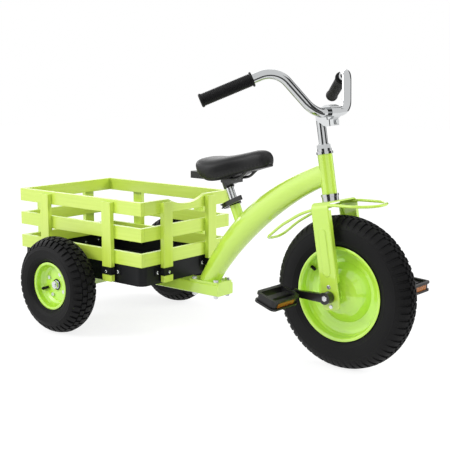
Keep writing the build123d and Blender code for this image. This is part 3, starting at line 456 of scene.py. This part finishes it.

# Pedal reflectors: amber acrylic pressed into the pedals, with a grid of corner prisms moulded
# behind its smooth face. The prisms' relief is bumped in, and the light they throw back is painted into the
# colour: each cell is lighter in the middle and darker towards its edges.
PRISM_SIZE = 3 * MM
PRISM_DEEP = 0.6 * MM
amber, tree, place = begin("amber_acrylic_reflector")
prism = add(tree, "ShaderNodeTexVoronoi", {"Vector": place, "Scale": 1 / PRISM_SIZE}, feature="F1")
# Painted light and shade in each prism cell: lighter in the middle, darker at its edges.
glow = add(tree, "ShaderNodeValToRGB", {"Fac": prism.outputs["Distance"]})
for stop, code in zip(glow.color_ramp.elements, ("#AE6E26", "#7E4012")):
    stop.color = linear(code)
facet = add(tree, "ShaderNodeBump", {
    "Height": prism.outputs["Distance"], "Strength": 0.5, "Distance": PRISM_DEEP})
acrylic = add(tree, "ShaderNodeBsdfPrincipled", {
    "Base Color": glow.outputs["Color"], "Roughness": 0.12, "IOR": 1.49, "Normal": facet.outputs["Normal"]})
add(tree, "ShaderNodeOutputMaterial", {"Surface": acrylic.outputs["BSDF"]})
wear(amber, "left_reflectors", "right_reflectors")

# Saddle: moulded foam on the plastic base under a tight skin of satin black vinyl, embossed with a
# fine pebble that is drawn coarser than it is. The skin is pulled under the base all round, which
# puckers it slightly along the hem.
VINYL_CLOUD = 30 * MM
VINYL_PEBBLE = 1.6 * MM
VINYL_DEEP = 0.3 * MM
vinyl, tree, place = begin("satin_black_vinyl")
cloud = add(tree, "ShaderNodeTexNoise", {"Vector": place, "Scale": 1 / VINYL_CLOUD, "Detail": 3.0})
shade = add(tree, "ShaderNodeValToRGB", {"Fac": cloud.outputs["Fac"]})
for stop, code in zip(shade.color_ramp.elements, ("#121213", "#1A1A1B")):
    stop.color = linear(code)
pebble = add(tree, "ShaderNodeTexVoronoi", {"Vector": place, "Scale": 1 / VINYL_PEBBLE}, feature="F1")
emboss = add(tree, "ShaderNodeBump", {
    "Height": pebble.outputs["Distance"], "Strength": 0.25, "Distance": VINYL_DEEP})
cover = add(tree, "ShaderNodeBsdfPrincipled", {
    "Base Color": shade.outputs["Color"], "Roughness": 0.46, "IOR": 1.5, "Specular IOR Level": 0.35,
    "Normal": emboss.outputs["Normal"]})
add(tree, "ShaderNodeOutputMaterial", {"Surface": cover.outputs["BSDF"]})

# The cover is a row of cross sections from tail to nose, each given as (x, half width, hem height,
# crown height) in mm. Every section is the same half outline, scaled to those and mirrored, and a
# drifting sine along the edge, which fades away from the hem, puckers it.
SADDLE = [(-24.5, 3, 459, 461), (-23.4, 22, 455.5, 464), (-20, 40, 451.5, 468), (-12, 55, 445.5, 474.5)]
SADDLE += [(8, 68, 430.5, 478.5), (38, 71, 425.5, 480), (70, 60, 432, 484), (100, 43, 443, 490)]
SADDLE += [(130, 32, 452, 497), (156, 27, 459.5, 501.5), (172, 22.5, 463.5, 498.5)]
SADDLE += [(180.5, 16.5, 466.5, 489.5), (184, 9, 470, 482), (185, 2, 475, 477)]
SADDLE_HALF = [(0, 0), (0.6, 0), (0.86, 0.015), (0.965, 0.2), (1, 0.42), (0.93, 0.72), (0.68, 0.9)]
SADDLE_HALF += [(0.34, 0.975), (0, 1)]
SADDLE_SECTIONS = 150
SADDLE_HALF_POINTS = 44
PUCKER_DEEP = 0.55
PUCKER_ABOVE_HEM = 4.0
PUCKER_FADE = 5.5
PUCKER_PITCH = 9.5
PUCKER_DRIFT = 31.0
FLAT_UNDERSIDE = 0.02
x, wide, hem, crown = smooth(SADDLE, np.linspace(0, 1, SADDLE_SECTIONS)).T[:, :, None]
half = smooth(SADDLE_HALF, np.linspace(0, 1, SADDLE_HALF_POINTS))
across = np.concatenate([half[:, 0], -half[-2:0:-1, 0]])[None]
rise = np.concatenate([half[:, 1], half[-2:0:-1, 1]])[None]
height = (crown - hem) * rise
run = np.cumsum(np.hypot(np.gradient(x[:, 0]), np.gradient(wide[:, 0])))[:, None]
wave = np.sin(2 * pi * run / PUCKER_PITCH + np.sin(2 * pi * run / PUCKER_DRIFT))
pucker = PUCKER_DEEP * np.exp(-((height - PUCKER_ABOVE_HEM) / PUCKER_FADE) ** 2) * wave
y = across * (wide + np.where(rise > FLAT_UNDERSIDE, pucker, 0))
points = np.stack([x + 0 * y, -y, hem + height], -1) * MM
saddle = surface("vinyl_saddle", points, False, True, vinyl)
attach(saddle, "seat")
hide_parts("saddle_pad")


# Floor and surround: a sweep of white paper under soft white light from all round. Both show as
# white in the picture and in reflections, and light the object more gently than that white would.
def seen_by_lens(tree):
    """1 for rays that show the background in the picture, straight, mirrored or through glass, else 0:
    the largest of three ray kinds."""
    path = add(tree, "ShaderNodeLightPath")
    mirrored = add(tree, "ShaderNodeMath", {
        0: path.outputs["Is Camera Ray"], 1: path.outputs["Is Glossy Ray"]}, operation="MAXIMUM")
    through = add(tree, "ShaderNodeMath", {
        0: mirrored.outputs["Value"], 1: path.outputs["Is Transmission Ray"]}, operation="MAXIMUM")
    return through.outputs["Value"]


WHITE = (1, 1, 1, 1)
FLOOR_HALF = 8.0
SHADOW_SHARE = 0.28
FLOOR_GLOW = 0.82
ROOM_LIGHT = 0.76
floor_mesh = bpy.data.meshes.new("studio_floor")
corners = [(a * FLOOR_HALF, b * FLOOR_HALF, 0) for a, b in ((-1, -1), (1, -1), (1, 1), (-1, 1))]
floor_mesh.from_pydata(corners, [], [(0, 1, 2, 3)])
floor = bpy.data.objects.new("studio_floor", floor_mesh)
bpy.context.scene.collection.objects.link(floor)
paper, tree, _ = begin("white_paper_sweep")
matt = add(tree, "ShaderNodeBsdfDiffuse", {"Color": linear("#E6E6E6")})
veil = add(tree, "ShaderNodeBsdfDiffuse", {"Color": (SHADOW_SHARE, SHADOW_SHARE, SHADOW_SHARE, 1)})
lift = add(tree, "ShaderNodeEmission", {"Color": WHITE, "Strength": FLOOR_GLOW})
pale = add(tree, "ShaderNodeAddShader", {0: veil.outputs["BSDF"], 1: lift.outputs["Emission"]})
both = add(tree, "ShaderNodeMixShader", {
    "Fac": seen_by_lens(tree), 1: matt.outputs["BSDF"], 2: pale.outputs["Shader"]})
add(tree, "ShaderNodeOutputMaterial", {"Surface": both.outputs["Shader"]})
floor_mesh.materials.append(paper)

world = bpy.data.worlds.new("white_studio")
bpy.context.scene.world = world
world.use_nodes = True
tree = world.node_tree
tree.nodes.clear()
soft = add(tree, "ShaderNodeBackground", {"Color": WHITE, "Strength": ROOM_LIGHT})
white = add(tree, "ShaderNodeBackground", {"Color": WHITE, "Strength": 1.0})
both = add(tree, "ShaderNodeMixShader", {
    "Fac": seen_by_lens(tree), 1: soft.outputs["Background"], 2: white.outputs["Background"]})
add(tree, "ShaderNodeOutputWorld", {"Surface": both.outputs["Shader"]})

# Lamps: three square softboxes that face the object. The key stands to the left of the camera and
# shows in reflections. One fill stands behind the camera, and one ahead of the object's far side.
LAMP_AIM = (0, 0, 0.3)


def softbox(name, place, size, watts, mirrored):
    """Square area light at a place, turned to face the object; mirrored shows it in reflections."""
    lamp = bpy.data.lights.new(name, "AREA")
    lamp.size = size
    lamp.energy = watts
    light = bpy.data.objects.new(name, lamp)
    light.location = place
    light.rotation_euler = (Vector(LAMP_AIM) - Vector(place)).to_track_quat("-Z", "Y").to_euler()
    light.visible_glossy = mirrored
    bpy.context.scene.collection.objects.link(light)


softbox("key_softbox", (-1.6, -3.4, 2.6), size=1.2, watts=70, mirrored=True)
softbox("camera_softbox", (2.4, -3.3, 2.1), size=2.1, watts=27, mirrored=False)
softbox("front_softbox", (2.3, 2.05, 1.85), size=1.6, watts=60, mirrored=False)

# Painted reflections: curved sheets round the set that glow evenly, white or nearly black, which only
# reflections see;
# they light nothing and cast no shadow. The white ones paint pale bands along the enamel, and the dark ones
# paint dark streaks down the chrome and a darker floor in reflections near the object.
CARD_STEPS = 30
DARK_REFLECTION_GLOW = 0.06
DARK_REFLECTION_RISE = (0.02, 2.6)


def card(name, glow, turn, rise, away=(3.2, 3.2)):
    """Part of a cone round the set between two turns and two heights, with a radius at each, glowing evenly
    and seen only in reflections: a painted reflection.
    """
    material, tree, _ = begin(name + "_face")
    shine = add(tree, "ShaderNodeEmission", {"Color": WHITE, "Strength": glow})
    add(tree, "ShaderNodeOutputMaterial", {"Surface": shine.outputs["Emission"]})
    around = np.linspace(radians(turn[0]), radians(turn[1]), CARD_STEPS)[:, None]
    radius = np.array(away)[None]
    height = np.array(rise)[None] + 0 * around
    wall = np.stack([radius * np.cos(around), radius * np.sin(around), height], -1)
    piece = surface(name, wall, False, False, material)
    piece.visible_camera = False
    piece.visible_diffuse = False
    piece.visible_shadow = False


# Nearly black sheets: painted dark streaks in reflections.
card("painted_dark_streak_left", DARK_REFLECTION_GLOW, (-92, -52), DARK_REFLECTION_RISE)
card("painted_dark_streak_right", DARK_REFLECTION_GLOW, (-2, 40), DARK_REFLECTION_RISE)
card("painted_dark_streak_rear_left", DARK_REFLECTION_GLOW, (70, 105), DARK_REFLECTION_RISE)
card("painted_dark_streak_rear_right", DARK_REFLECTION_GLOW, (160, 188), DARK_REFLECTION_RISE)
# Nearly black ring over the floor, seen only in reflections: a painted darker floor reflection.
card("painted_dark_floor_reflection", 0.1, (-95, 45), (0.004, 0.004), (1.0, 3.1))
# White glowing sheets: painted pale bands and highlights in reflections.
card("painted_pale_band_left", 1.4, (-165, -105), (0.3, 3.2))
card("painted_pale_band_back", 3.0, (120, 150), (1.0, 2.6))
card("painted_highlight_strip_rear", 5.0, (158, 184), (1.0, 2.3), (3.1, 3.1))

# Camera: the photograph's viewpoint, level with the top of the handlebar and about 40 degrees round
# from the right side, found by fitting the object's known sizes to the picture.
CAMERA_AIM = Vector((0.0386, 0.0, 0.30265))
CAMERA_AZIMUTH = radians(39.94)
CAMERA_RISE = radians(9.37)
CAMERA_AWAY = 2.435
CAMERA_SENSOR = 36.0
CAMERA_LENS = 75.87
lens = bpy.data.cameras.new("photo_camera")
lens.sensor_width = CAMERA_SENSOR
lens.lens = CAMERA_LENS
eye = bpy.data.objects.new("photo_camera", lens)
level = cos(CAMERA_RISE)
way = Vector((sin(CAMERA_AZIMUTH) * level, -cos(CAMERA_AZIMUTH) * level, sin(CAMERA_RISE)))
eye.location = CAMERA_AIM + way * CAMERA_AWAY
eye.rotation_euler = (-way).to_track_quat("-Z", "Y").to_euler()
bpy.context.scene.collection.objects.link(eye)
bpy.context.scene.camera = eye
bpy.context.scene.view_settings.view_transform = "Standard"
